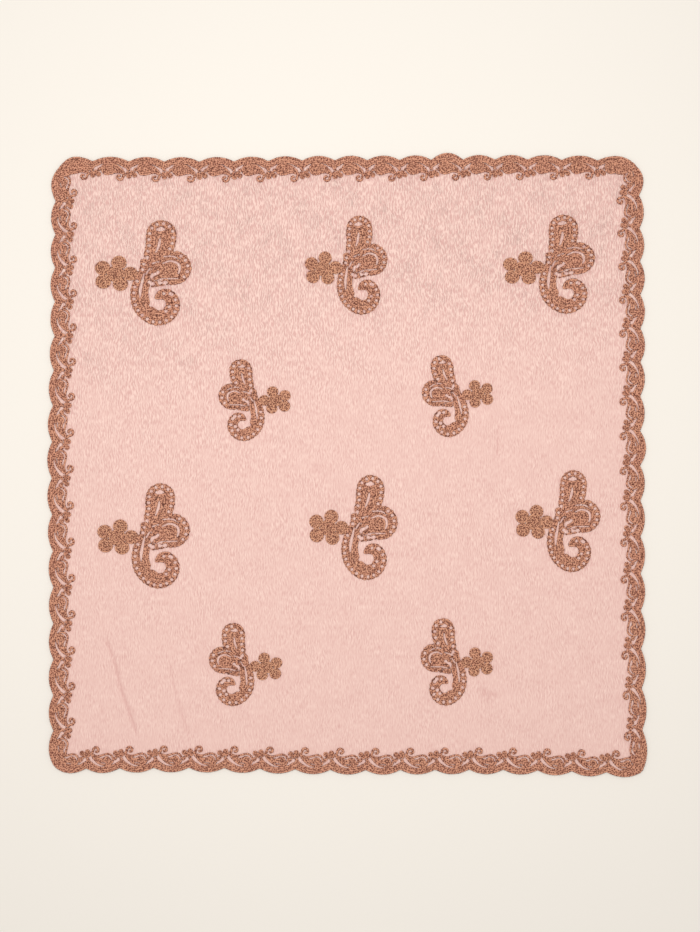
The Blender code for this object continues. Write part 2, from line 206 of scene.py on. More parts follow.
GRID = 0.5               # spacing of the points that rows of thread are worked out on
CELL_X = 1.1             # the cloth's faces, short across its puckers
CELL_Y = 4.0             # and longer along them
LIE_FADE = (10.0, 60.0)  # in this stretch from the edge inwards the cloth starts to lift
BORDER_FADE = 20.0       # how far in the scallops still bend the cloth's threads
GROUND_THICK = 0.5       # the lace's lowest layer of thread
CORD_BASE = 0.2          # from the ground's underside up to where stitches start
RIM_REACH = 0.15         # how far a rim reaches past the outline that it follows
RIM_RISE = 1.1           # how high it stands, against a row
ROW_OVERLAP = 0.25       # how far the first row lies under the rim
SLIT_OVERLAP = 0.3       # how far a rim runs into a slit
THIN_HALF = 0.3          # half width of the thin rows
SHORTEST_ROW = 5.0       # a shorter closed row becomes a knot
LEAST_ROW = 1.0          # and below this, nothing
FLOOR_HALF = 12.0        # metres
FLOOR_DROP = 0.0001      # metres, so that floor and cloth don't flicker
SENSOR = 36.0            # the camera's own, which its lens is worked out for
KEY_PLACE = (-0.06, 0.2, 1.3)    # the lamp, in metres, nearly straight above the cloth
KEY_SIZE = 0.5
KEY_TINT = (1.0, 0.985, 0.955)   # linear, as the next is
SKY_TINT = (1.0, 0.99, 0.97, 1.0)
CAMERA_TARGET = (0.00325, -0.00233, 0.0)
CAMERA_TILT = math.radians(1.37)
# Half the section of a row: across it, and up.
SECTION = ((-1.0, 0.0), (-0.72, 0.65), (0.0, 1.0), (0.72, 0.65), (1.0, 0.0))


# ---- small tools

def linear(code):
    """An sRGB hex colour as the linear one that Blender works in."""
    parts = [int(code[i:i + 2], 16) / 255.0 for i in (1, 3, 5)]
    return tuple(p / 12.92 if p <= 0.04045 else ((p + 0.055) / 1.055) ** 2.4 for p in parts)


def blend_stations(values, u):
    """Smoothly read a row of evenly spaced values at u, from 0 to 1."""
    row = np.asarray(values, float)
    place = np.clip(u, 0.0, 1.0) * (len(row) - 1)
    left = np.minimum(np.asarray(place).astype(int), len(row) - 2)
    ease = 0.5 - 0.5 * np.cos(np.pi * (place - left))
    return row[left] * (1.0 - ease) + row[left + 1] * ease


def smoothstep(value, low, high):
    f = np.clip((value - low) / (high - low), 0.0, 1.0)
    return f * f * (3.0 - 2.0 * f)


def smooth_ribs(ribs, steps):
    """Points of a smooth line through the ribs, each with its half width."""
    knots = np.array([2 * np.array(ribs[0]) - ribs[1], *ribs,
                      2 * np.array(ribs[-1]) - ribs[-2]], float)
    f = (np.arange(steps) / steps)[:, None]
    points = []
    for before, here, after, beyond in zip(knots, knots[1:], knots[2:], knots[3:]):
        points.append(0.5 * (2 * here + (after - before) * f
                             + (2 * before - 5 * here + 4 * after - beyond) * f ** 2
                             + (3 * here - before - 3 * after + beyond) * f ** 3))
    return np.vstack([*points, knots[-2]])


def arc(centre, radius, start, end, steps):
    """Points along a round stretch, both ends included; angles in degrees."""
    angle = np.radians(np.linspace(start, end, steps + 1))
    return np.column_stack([centre[0] + radius * np.cos(angle),
                            centre[1] + radius * np.sin(angle)])


def band_outline(ribs, steps, cap_steps):
    """The closed outline of a band with round ends."""
    points = smooth_ribs(ribs, steps)
    ahead = np.gradient(points[:, :2], axis=0)
    heading = np.arctan2(ahead[:, 1], ahead[:, 0])
    side = np.column_stack([-np.sin(heading), np.cos(heading)]) * points[:, 2:]
    left, right = points[:, :2] + side, points[:, :2] - side
    far, near = math.degrees(heading[-1]), math.degrees(heading[0])
    far_cap = arc(points[-1, :2], points[-1, 2], far - 90, far + 90, cap_steps)
    near_cap = arc(points[0, :2], points[0, 2], near + 90, near + 270, cap_steps)
    return np.vstack([right[:-1], far_cap, left[-2:0:-1], near_cap[:-1]])


class Waves:
    """A smooth uneven surface: many waves of nearly the same size added up."""

    def __init__(self, seed, count, short_x, long_x, short_y, long_y):
        rng = np.random.default_rng(seed)
        sign = rng.choice((-1.0, 1.0), count)
        self.kx = 2 * np.pi / rng.uniform(short_x, long_x, count)
        self.ky = sign * 2 * np.pi / rng.uniform(short_y, long_y, count)
        self.phase = rng.uniform(0, 2 * np.pi, count)

    def at(self, x, y):
        """Height at each point; about 95% of it lies between -1 and 1."""
        total = np.zeros(np.shape(x))
        for kx, ky, phase in zip(self.kx, self.ky, self.phase):
            total += np.sin(kx * x + ky * y + phase)
        return total / math.sqrt(2.0 * len(self.kx))


LIE = Waves(SEED, 14, 110.0, 260.0, 90.0, 240.0)


def lie(x, y):
    """How far the whole bandana lifts off the surface below it, in millimetres."""
    settings = bpy.context.scene.bandana_crepe
    inside = np.minimum(CREPE_HALF - np.abs(x), CREPE_HALF - np.abs(y))
    return settings.lie / MM * smoothstep(inside, *LIE_FADE) * (
        0.5 + 0.5 * np.clip(LIE.at(x, y), -1.0, 1.0))


# ---- lines on a field of points

# Which side of a square a line enters and leaves by, for each way that its corners
# can lie inside or outside. Sides: 0 bottom, 1 right, 2 top, 3 left.
CROSSINGS = {1: ((0, 3),), 2: ((1, 0),), 3: ((1, 3),), 4: ((2, 1),),
             5: ((0, 3), (2, 1)), 6: ((2, 0),), 7: ((2, 3),), 8: ((3, 2),),
             9: ((0, 2),), 10: ((1, 0), (3, 2)), 11: ((1, 2),), 12: ((3, 1),),
             13: ((0, 1),), 14: ((3, 0),)}


class Field:
    """A grid of points that shapes are measured on, in millimetres.

    A shape is an array of the distance from each point to the shape's edge, positive
    inside it. Two shapes are joined with np.maximum and cut with np.minimum.
    """

    def __init__(self, low, high):
        self.xs = np.arange(low[0], high[0] + GRID, GRID)
        self.ys = np.arange(low[1], high[1] + GRID, GRID)
        self.x, self.y = np.meshgrid(self.xs, self.ys)

    def empty(self, reach=8.0):
        """The shape of nothing."""
        return np.full(self.x.shape, -reach)

    def outline(self, points, reach=8.0, closed=True):
        """Distance to a closed outline, or to an open line, no greater than reach."""
        points = np.asarray(points, float)
        (x0, y0), (x1, y1) = points.min(0) - reach, points.max(0) + reach
        window = (slice(*np.searchsorted(self.ys, (y0, y1))),
                  slice(*np.searchsorted(self.xs, (x0, x1))))
        x, y = self.x[window], self.y[window]
        inside = np.zeros(x.shape, bool)
        best = np.full(x.shape, reach ** 2)
        last = len(points) if closed else len(points) - 1
        for (ax, ay), (bx, by) in list(zip(points, np.roll(points, -1, 0)))[:last]:
            best = np.minimum(best, square_to(x, y, ax, ay, bx, by))
            if closed and ay != by:
                inside ^= ((ay > y) != (by > y)) & (x < (bx - ax) * (y - ay) / (by - ay) + ax)
        value = self.empty(reach if closed else -reach)
        distance = np.sqrt(best)
        value[window] = np.where(inside | (not closed), distance, -distance)
        return value

    def band(self, ribs, steps=4, cap_steps=8, reach=8.0):
        return self.outline(band_outline(ribs, steps, cap_steps), reach)

    def disc(self, x, y, radius):
        return radius - np.hypot(self.x - x, self.y - y)

    def sampled(self, shape, points):
        """A shape's values at places between the points of the grid."""
        column = np.clip((points[:, 0] - self.xs[0]) / GRID, 0, len(self.xs) - 1.01)
        row = np.clip((points[:, 1] - self.ys[0]) / GRID, 0, len(self.ys) - 1.01)
        i, j = row.astype(int), column.astype(int)
        up, right = row - i, column - j
        low = shape[i, j] * (1 - right) + shape[i, j + 1] * right
        high = shape[i + 1, j] * (1 - right) + shape[i + 1, j + 1] * right
        return low * (1 - up) + high * up

    def lines(self, shape, depth):
        """Closed lines that lie this deep inside a shape, its inside on their left."""
        above = shape > depth
        code = (above[:-1, :-1] * 1 + above[:-1, 1:] * 2 + above[1:, 1:] * 4
                + above[1:, :-1] * 8)
        following = {}
        for row, column in zip(*np.nonzero((code > 0) & (code < 15))):
            keys = ((0, row, column), (1, row, column + 1),
                    (0, row + 1, column), (1, row, column))
            for start, end in CROSSINGS[code[row, column]]:
                following[keys[start]] = keys[end]
        found = []
        while following:
            key, after = following.popitem()
            line = [key]
            while after in following:
                line.append(after)
                after = following.pop(after)
            kind, row, column = np.array(line).T
            other_row, other_column = row + kind, column + 1 - kind
            here, there = shape[row, column], shape[other_row, other_column]
            f = (depth - here) / (there - here)
            x = self.xs[column] + f * (self.xs[other_column] - self.xs[column])
            y = self.ys[row] + f * (self.ys[other_row] - self.ys[row])
            found.append(np.column_stack([x, y]))
        return found


def length_of(line, closed=True):
    ends = np.roll(line, -1, 0) if closed else line[1:]
    starts = line if closed else line[:-1]
    return float(np.hypot(*(ends - starts).T).sum())


def spaced_count(line, count, closed=False):
    """So many evenly spaced points along a line."""
    whole = np.vstack([line, line[:1]]) if closed else line
    gone = np.concatenate([[0.0], np.cumsum(np.hypot(*np.diff(whole, axis=0).T))])
    at = np.linspace(0.0, gone[-1], count, endpoint=not closed)
    return np.column_stack([np.interp(at, gone, whole[:, 0]), np.interp(at, gone, whole[:, 1])])


def spaced(line, step, closed=True):
    """The same line with evenly spaced points, an even number of them."""
    return spaced_count(line, max(8, 2 * round(length_of(line, closed) / step / 2)), closed)


def left_of(line, closed):
    """Unit steps to the left of a line at each of its points."""
    ahead = np.roll(line, -1, 0) - np.roll(line, 1, 0) if closed else np.gradient(line, axis=0)
    side = np.column_stack([-ahead[:, 1], ahead[:, 0]])
    return side / (np.linalg.norm(side, axis=1)[:, None] + 1e-9)


def kept_runs(line, keep):
    """The stretches of a closed line whose points are kept."""
    if keep.all():
        return [line]
    if not keep.any():
        return []
    start = int(np.argmin(keep))
    line, keep = np.roll(line, -start, 0), np.roll(keep, -start)
    edges = np.flatnonzero(np.diff(np.concatenate([[0], keep.astype(int), [0]])))
    return [line[a:b] for a, b in edges.reshape(-1, 2) if b - a > 2]


def softened(line):
    """A closed line with its small corners rubbed off."""
    return 0.5 * line + 0.25 * (np.roll(line, 1, 0) + np.roll(line, -1, 0))


def square_to(x, y, ax, ay, bx, by):
    """Square of the distance from places to the straight stretch from a to b."""
    ex, ey = bx - ax, by - ay
    f = np.clip(((x - ax) * ex + (y - ay) * ey) / (ex * ex + ey * ey + 1e-9), 0, 1)
    return (x - ax - f * ex) ** 2 + (y - ay - f * ey) ** 2


def new_mesh(name, points, faces, **levels):
    """A mesh from points in millimetres, each with its value on every level."""
    mesh = bpy.data.meshes.new(name)
    mesh.from_pydata((points * MM).tolist(), [], faces)
    for label, values in levels.items():
        layer = mesh.attributes.new(label, "FLOAT", "POINT")
        layer.data.foreach_set("value", values.astype(np.float32))
    return mesh


# ---- work in thread

class CordWork:
    """Rows of raised stitches, gathered into one mesh.

    Each point has a relief, from 0 low between stitches to 1 on top of one, for painted shade,
    and a tan, from 0 for rosewood thread to 1 for tan thread.
    """

    def __init__(self, seed, stretch=1.0):
        self.rng = np.random.default_rng(seed)
        self.stretch = stretch
        self.points, self.faces, self.relief, self.tan = [], [], [], []
        self.count = 0

    def run(self, line, half, height, closed=True, tan=0.0, lively=1.0, reach=None):
        """One row of stitches along a line; reach widens it to its left."""
        n, ring = len(line), len(SECTION)
        side = left_of(line, closed)
        # Every second stitch swells and stands up; no two are quite the same.
        beat = np.where((np.arange(n) + self.rng.integers(2)) % 2, 1.0, -1.0) * lively
        beat = beat * self.rng.uniform(0.4, 1.0, n)
        wide = half * (1.0 + 0.36 * beat) * self.rng.uniform(0.92, 1.08, n)
        tall = height * (0.9 + 0.28 * beat) * self.rng.uniform(0.92, 1.08, n)
        left = wide if reach is None else np.maximum(wide, reach)
        line = line + side * (self.rng.uniform(-0.12, 0.12, n) * lively)[:, None]
        if not closed:
            wide[[0, -1]] *= 0.55
            tall[[0, -1]] *= 0.7
        across, up = np.array(SECTION).T
        out = np.where(across > 0.0, left[:, None], wide[:, None]) * across
        flat = line[:, None, :] + side[:, None, :] * out[:, :, None]
        z = CORD_BASE + tall[:, None] * up
        # Painted shade: the relief is low at the rows' edges and on every second, narrower
        # stitch, and high on their tops; the thread's material darkens the low places.
        brink, crest = np.clip(0.42 + 0.4 * beat, 0, 1), 0.88 + 0.12 * beat
        flank = 0.5 * (brink + crest)
        relief = np.stack([brink, flank, crest, flank, brink], axis=1)
        meets = left > wide + 0.02
        z[meets, -1] = z[meets, -2]
        relief[meets, -1] = relief[meets, -2]
        self.points.append(np.dstack([flat, z]).reshape(-1, 3))
        self.relief.append(relief.ravel())
        self.tan.append(np.full(n * ring, tan))
        i = np.arange(n if closed else n - 1)[:, None] * ring
        j = (i + ring) % (n * ring)
        k = np.arange(ring)
        m = (k + 1) % ring
        quads = np.stack([i + k, j + k, j + m, i + m], axis=2).reshape(-1, 4)
        self.faces += (quads + self.count).tolist()
        if not closed:
            self.faces.append((k + self.count).tolist())
            self.faces.append((k[::-1] + self.count + (n - 1) * ring).tolist())
        self.count += n * ring

    def rows(self, field, shape, tan=0.0, fine=1.0, slits=None, cut=None):
        """Fill a shape with rows that follow its outline, the rim first.

        Rows stop where cut falls below zero. Where no further row fits inside a row,
        it widens to meet the one opposite; thin rows fill what is too narrow for others.
        """
        lace = bpy.context.scene.bandana_lace
        grow = fine / self.stretch
        step = lace.stitch / MM / 2 * grow
        spacing = lace.row_spacing / MM * grow
        rim_half = lace.rim_width / MM / 2 * grow
        row_half = lace.row_width / MM / 2 * grow
        height = lace.row_height / MM
        slits = field.empty() if slits is None else slits
        cut = -field.empty() if cut is None else cut
        for line in field.lines(shape, rim_half - RIM_REACH):
            if length_of(line) > SHORTEST_ROW * grow:
                line = softened(spaced(line, step))
                keep = ((field.sampled(cut, line) > 0.0)
                        & (field.sampled(slits, line) < SLIT_OVERLAP))
                for part in kept_runs(line, keep):
                    self.run(part, rim_half, height * RIM_RISE, keep.all(), tan, 0.5)
        inner = np.minimum(shape - 2.0 * rim_half + ROW_OVERLAP, -slits)

        def lay(depth, half, pitch, thin=False):
            for line in field.lines(inner, depth):
                if length_of(line) < SHORTEST_ROW * grow:
                    if length_of(line) >= LEAST_ROW and field.sampled(cut, line).min() > 0.0:
                        self.knot(line, half, height, tan)
                    continue
                line = softened(spaced(line, step))
                probe = line + left_of(line, True) * pitch
                room = (field.sampled(inner, probe) - depth + pitch) / 2
                keep = field.sampled(cut, line) > 0.0
                if thin:
                    keep &= room < pitch - depth
                reach = np.where(room < 0.97 * pitch, room + 0.1, 0.0)
                for part in kept_runs(np.column_stack([line, reach]), keep):
                    self.run(part[:, :2], half, height, keep.all(), tan, 1.0, part[:, 2])

        lay(THIN_HALF, THIN_HALF, row_half, thin=True)
        for depth in np.arange(row_half, inner.max(), spacing):
            lay(depth, row_half, spacing)

    def knot(self, line, half, height, tan):
        """A short stitch where a row closes up."""
        away = line - line.mean(0)
        along = np.linalg.svd(away, full_matrices=False)[2][0]
        far = np.abs(away @ along).max() + 0.5
        steps = np.linspace(-far, far, 4)[:, None]
        self.run(line.mean(0) + along * steps, half, height, False, tan, 0.3)

    def mesh(self, name, place, mirrored):
        """Everything so far as a mesh, each point put in its place."""
        faces = [face[::-1] for face in self.faces] if mirrored else self.faces
        mesh = new_mesh(name, place(np.vstack(self.points)), faces,
                        relief=np.concatenate(self.relief), tan=np.concatenate(self.tan))
        mesh.shade_smooth()
        return mesh


def inside_loops(loops, points):
    """Which points lie inside an odd number of loops."""
    inside = np.zeros(len(points), bool)
    x, y = points.T
    for loop in loops:
        (ax, ay), (bx, by) = loop.T[:, :, None], np.roll(loop, -1, 0).T[:, :, None]
        beyond = x < (bx - ax) * (y - ay) / (by - ay + 1e-12) + ax
        inside ^= (((ay > y) != (by > y)) & beyond).sum(0) % 2 == 1
    return inside


def ground_mesh(name, loops, place, mirrored):
    """A thin layer cut to loops, which are outlines and the gaps in them; and its area."""
    sides = []
    for loop in loops:
        ring = len(sides) + np.arange(len(loop))
        sides += zip(ring.tolist(), np.roll(ring, -1).tolist())
    flat, _, faces = delaunay_2d_cdt([Vector(point) for point in np.vstack(loops)],
                                     sides, [], 0, 1e-5)[:3]
    middles = np.array(flat)[np.array(faces)].mean(1)
    faces = [tuple(face) for face, kept in zip(faces, inside_loops(loops, middles)) if kept]
    rim = {}
    for face in faces:
        for a, b in zip(face, face[1:] + face[:1]):
            if rim.pop((b, a), None) is None:
                rim[a, b] = True
    n = len(flat)
    solid = faces + [tuple(n + i for i in reversed(face)) for face in faces]
    solid += [(b, a, n + a, n + b) for a, b in rim]
    if mirrored:
        solid = [face[::-1] for face in solid]
    points = np.array([(*point, z) for z in (GROUND_THICK, 0.0) for point in flat])
    mesh = new_mesh(name, place(points), solid)
    return mesh, sum(face.area for face in mesh.polygons[:len(faces)])


def add_lace(name, node, work, loops, on_cloth, mirrored):
    """The ground and the cords of one lace piece, each point where on_cloth puts it."""
    low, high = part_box(node)
    settings = bpy.context.scene.bandana_lace

    def place(points):
        flat = on_cloth(points[:, :2])
        z = low.z / MM + points[:, 2] + lie(flat[:, 0], flat[:, 1])
        return np.column_stack([flat, z])

    made = bpy.data.materials
    mesh, area = ground_mesh(name + "_ground", loops, place, mirrored)
    base = add_piece(mesh, made.get(GROUND_SHADE) or ground_material(settings), node)
    cords = add_piece(work.mesh(name + "_cords", place, mirrored),
                      made.get(STITCHED) or thread_material(settings), node)
    check_box([base, cords], node)


# ---- the edging

class Edge:
    """One side of the bandana: turns strip coordinates into places on it."""

    def __init__(self, name):
        self.name, self.side = name, SIDES[name]
        first, last = CORNERS[self.side.start], CORNERS[self.side.end]
        self.origin = np.array([first.x, first.y])
        line = np.array([last.x, last.y]) - self.origin
        self.length = float(np.hypot(*line))
        self.along = line / self.length
        self.inward = np.array([-self.along[1], self.along[0]])
        if self.inward @ self.origin > 0.0:
            self.inward = -self.inward
        self.mirrored = self.along[0] * self.inward[1] - self.along[1] * self.inward[0] < 0
        flat = abs(self.along[0]) > 0.5
        self.kinks = [(corner.kink_x, corner.kink_y) if flat else (corner.kink_y, corner.kink_x)
                      for corner in (first, last)]
        middles = (np.arange(SCALLOPS) + 0.5) / SCALLOPS
        weights = blend_stations(self.side.spread, middles)
        room = self.length - self.side.lead_in - self.side.lead_out
        steps = np.concatenate([[0.0], np.cumsum(weights)]) * room / weights.sum()
        self.notches = self.side.lead_in + steps

    def place(self, points):
        """The places that lie s along the strip and t in from its tips."""
        s, t = points[:, 0], points[:, 1]
        swing = blend_stations(self.side.bow, s / self.length)
        return self.origin + np.outer(s, self.along) + np.outer(t - swing, self.inward)

    def repeat(self, index, points):
        """Strip coordinates of points of the drawn repeat at the notch of that index."""
        points = np.asarray(points, float)
        pitches = np.diff(self.notches)
        before = pitches[min(max(index - 1, 0), SCALLOPS - 1)]
        after = pitches[min(max(index, 0), SCALLOPS - 1)]
        a = points[:, 0] * np.where(points[:, 0] < 0.0, before, after) / PITCH
        inner = min(max(index, 0), SCALLOPS)
        start = self.notches[inner] + (index - inner) * PITCH
        moved = points.copy()
        moved[:, 0] = start + self.side.shift + a
        moved[:, 1] *= blend_stations(self.side.reach, moved[:, 0] / self.length)
        return moved

    def tip_line(self, setback=0.0):
        """Strip coordinates along the scallops, from mitre to mitre."""
        points = self.corner_scallop(self.side.lead_in, self.kinks[0], setback)
        for index, (start, end) in enumerate(zip(self.notches, self.notches[1:])):
            swell = PROUD.get((self.name, index), 0.0)
            for step in range(1, SCALLOP_STEPS + 1):
                across = 2.0 * step / SCALLOP_STEPS - 1.0
                drop = SCALLOP_DEPTH * across ** 2 - swell * (1.0 - across ** 2)
                points.append((start + (end - start) * step / SCALLOP_STEPS, drop + setback))
        far = self.corner_scallop(self.side.lead_out, self.kinks[1], setback)
        points += [(self.length - s, t) for s, t in reversed(far[:-1])]
        return np.array(points)

    @staticmethod
    def corner_scallop(lead, kink, setback=0.0):
        """Half of a corner's scallop, from the mitre to the first notch."""
        start, depth = kink
        tip = 0.5 * (lead + start)
        points = [(start + setback, depth + setback)]
        for step in range(1, SCALLOP_STEPS + 1):
            s = start + (lead - start) * step / SCALLOP_STEPS
            fall = depth if s < tip else SCALLOP_DEPTH
            points.append((s, fall * ((s - tip) / (lead - tip)) ** 2 + setback))
        return points

    def round_corner(self, corner, kink):
        """Past a mitre the edge goes on as the scallop of the side that joins there."""
        lead = next(side.lead_in if side.start == corner else side.lead_out
                    for side in SIDES.values()
                    if side is not self.side and corner in (side.start, side.end))
        points = self.corner_scallop(lead, kink[::-1])
        return [(t, s) for s, t in points[:0:-1]]

    def mitre(self, s, t):
        """Distance inside the two mitres; they run from the nicks to the inner corners."""
        inside = []
        for (start, depth), along in zip(self.kinks, (s, self.length - s)):
            run, rise = MITRE_INNER - start, MITRE_INNER - depth
            inside.append((rise * (along - start) - run * (t - depth)) / math.hypot(run, rise))
        return np.minimum(*inside)


def edging_shapes(edge):
    """The strip's field of points, its band, bodies and petals, and the slits in them."""
    length = edge.length
    field = Field((-3.0, -6.0), (length + 3.0, 32.0))
    near = edge.round_corner(edge.side.start, edge.kinks[0])
    far = [(length - s, t) for s, t in
           reversed(edge.round_corner(edge.side.end, edge.kinks[1]))]
    # Every shape stops 1 mm short of the field's sides, so that its lines close.
    inside = np.minimum.reduce([
        field.outline(np.vstack([near, edge.tip_line(), far])),
        field.x + 2.0, length + 2.0 - field.x, 31.0 - field.y])
    inner = [(MITRE_INNER, 40.0), (MITRE_INNER, MITRE_INNER),
             (edge.notches[0] - BAND_LEAD, MITRE_INNER)]
    band_inner = np.array(BAND_INNER)
    band_inner[6:] += np.array(GAP_ACROSS) * edge.side.close
    bodies, slits, gaps, petals = (field.empty() for _ in range(4))
    for index in range(-1, SCALLOPS + 1):
        bodies = np.maximum(bodies, field.band(edge.repeat(index, BODY)))
        for slit in () if edge.side.close else BODY_SLITS:
            slits = np.maximum(slits, field.band(edge.repeat(index, slit), 2, 3))
        if index < 0:
            continue
        drawn = band_inner if index < SCALLOPS else (*BAND_INNER[:edge.side.last], BAND_CLOSE)
        inner += edge.repeat(index, drawn).tolist()
        gaps = np.maximum(gaps, field.band(edge.repeat(index, SMALL_GAP), 2, 4))
        for x, y, radius in PETALS:
            place = edge.repeat(index, [(x, y)])[0]
            petals = np.maximum(petals, field.disc(*place, radius))
    inner += [(length - MITRE_INNER, MITRE_INNER), (length - MITRE_INNER, 40.0)]
    # The band's outline goes back round the outside of the field.
    low = [(length + 10.0, 40.0), (length + 10.0, -20.0), (-10.0, -20.0), (-10.0, 40.0)]
    bodies = np.minimum(bodies, inside)
    petals = np.minimum.reduce([petals, inside, -bodies])
    band = np.minimum.reduce([field.outline(np.vstack([inner, low])), inside, -gaps,
                              -bodies, -petals])
    return field, (band, bodies, petals), slits


def curl_line(edge, index):
    """The middle of the curled cord of one repeat, in strip coordinates."""
    angles = np.radians(np.linspace(*CURL_TURN, 19))
    radii = blend_stations(CURL_RADII, np.linspace(0, 1, 19))
    spiral = np.column_stack([CURL_CENTRE[0] + radii * np.cos(angles),
                              CURL_CENTRE[1] + radii * np.sin(angles)])
    return spaced(edge.repeat(index, np.vstack([CURL_STEM, spiral])), 1.0, False)


def make_edging(edge):
    """One strip of lace edging: its ground of thread and the cords on it."""
    field, (band, bodies, petals), slits = edging_shapes(edge)
    work = CordWork(SEED + list(SIDES).index(edge.name))
    mitre = edge.mitre(field.x, field.y)
    for shape in (band, bodies):
        work.rows(field, shape, slits=slits, cut=mitre + ROWS_PAST_MITRE)
    work.rows(field, petals, fine=PETAL_FINE)
    ground = np.minimum.reduce([np.maximum.reduce([band, bodies, petals]), -slits,
                                mitre + GROUND_INSET])
    for index in range(SCALLOPS + 1):
        curl = curl_line(edge, index)
        work.run(curl, CURL_HALF, CURL_HEIGHT, closed=False, lively=0.4)
        ground = np.maximum(ground, CURL_GROUND - field.outline(curl, 6.0, closed=False))
    loops = [spaced(line, 1.6) for line in field.lines(ground, GROUND_INSET)
             if length_of(line) > 4.0]
    add_lace(f"edging_{edge.name}", "lace_" + edge.name, work, loops, edge.place, edge.mirrored)


# ---- the appliques

def applique_shapes(stretch):
    """The applique's field of points, its shapes and the slits in them."""
    field = Field((-48.0, -56.0), (48.0, 56.0))
    reach = 22.0
    scroll = {name: field.band(ribs, reach=reach) for name, ribs in SCROLL.items()}
    heart, *petals = (field.disc(*disc) for disc in (FLOWER_HEART, *FLOWER_PETALS))
    slits = np.maximum.reduce([field.band(ribs, 4, 4, reach) for ribs in SLITS])
    whole = np.maximum.reduce([scroll[name] for name in scroll if name != "link"])
    free = -np.maximum.reduce([field.disc(*HOLLOW), scroll["link"], heart, *petals])

    def along_edge(depth, pitch):
        """Evenly spaced places at this depth inside the applique's outer edge."""
        places = []
        for line in field.lines(whole, depth):
            line = spaced(line, 0.8)
            for kept in kept_runs(line, field.sampled(free, line) > 1.0):
                count = round(length_of(kept, False) / pitch)
                if count > 2:
                    places.append(spaced_count(kept, count))
        return np.vstack(places)

    rounds = np.maximum.reduce([
        field.disc(*place, PICOT / stretch)
        for place in along_edge(PICOT_DEPTH / stretch, PICOT_PITCH / stretch)])
    radius = EYELET / stretch
    eyelets = along_edge(EYELET_DEPTH / stretch, EYELET_PITCH / stretch)
    eyelets = eyelets[field.sampled(slits, eyelets) < -radius - 0.5]
    holes = np.maximum.reduce([field.disc(*place, radius)
                               for place in np.vstack([eyelets, LONE_EYELETS])])
    parts, taken = {}, field.empty(reach)
    for name, shape in scroll.items():
        shape = np.maximum(shape, np.minimum(rounds, shape + PICOT))
        parts[name] = np.minimum.reduce([shape, -taken, -holes])
        taken = np.maximum(taken, shape)
    flower = heart
    for index, petal in enumerate(petals):
        parts[f"petal_{index}"] = np.minimum(petal, -flower)
        flower = np.maximum(flower, petal)
    parts["heart"] = heart
    parts["link"] = np.minimum(parts["link"], -flower)
    return field, parts, slits


def applique_work(stretch, seed):
    """The cords of one applique as drawn, and the loops of its ground."""
    field, parts, slits = applique_shapes(stretch)
    work = CordWork(seed, stretch)
    for name, shape in parts.items():
        tan, fine = (SCROLL_TAN, 1.0) if name in SCROLL else (FLOWER_TAN, FLOWER_FINE)
        work.rows(field, shape, tan, fine, slits)
    ground = np.minimum(np.maximum.reduce(list(parts.values())) - 0.2, -slits)
    loops = [spaced(line, 1.3) for line in field.lines(ground, 0.02) if length_of(line) > 3.0]
    return work, loops


def make_applique(spot, work, loops):
    """One applique, at its own size and place; the small ones are mirrored."""
    flip = -1.0 if spot.mirrored else 1.0
    turn = math.radians(spot.turn)
    scale = np.array([flip * spot.width / DRAWN_WIDTH, spot.height / DRAWN_HEIGHT])
    spin = np.array([[math.cos(turn), math.sin(turn)], [-math.sin(turn), math.cos(turn)]])
    add_lace(spot.name, spot.name, work, loops,
             lambda flat: flat * scale @ spin + (spot.x, spot.y), spot.mirrored)


# ---- the crepe

# Creases: a soft trough through the points, width and depth in millimetres.
Crease = namedtuple("Crease", "points width depth")
CREASES = (
    Crease(((-225.0, -166.0), (-218.4, -183.0), (-215.9, -190.9), (-211.7, -209.4),
            (-205.7, -226.3), (-199.9, -242.2), (-196.5, -251.4)), 1.3, 0.75),
    Crease(((-166.0, -190.0), (-158.0, -222.0), (-147.0, -255.5)), 1.6, 0.3),
    Crease(((124.0, -213.0), (129.0, -216.0), (135.0, -222.5)), 1.5, 0.6),
    Crease(((128.0, -210.0), (131.0, -214.0), (140.0, -217.0)), 1.5, 0.5),
    Crease(((141.6, 31.5), (142.4, 20.0), (141.6, 8.0)), 1.5, 0.4),
)
PUCKERS = Waves(SEED + 10, 70, 3.0, 6.5, 11.0, 50.0)
CLUSTERS = Waves(SEED + 11, 16, 25.0, 90.0, 25.0, 90.0)


# How strongly the cloth is puckered, from its bottom edge up to its top one.
PUCKERED = (0.22, 0.24, 0.28, 0.33, 0.42, 0.80, 1.00, 1.00)


def pucker_strength(x, y):
    """How strongly the cloth is puckered: most near the top, least in the middle."""
    down = blend_stations(PUCKERED, (y + 290.0) / 580.0)
    across = smoothstep(x, -180.0, 120.0) * smoothstep(110.0 - np.abs(y - 60.0), 0.0, 60.0)
    return down * (1.3 - 0.5 * across) * (1.0 + 0.3 * np.clip(CLUSTERS.at(x, y), -1.0, 1.0))


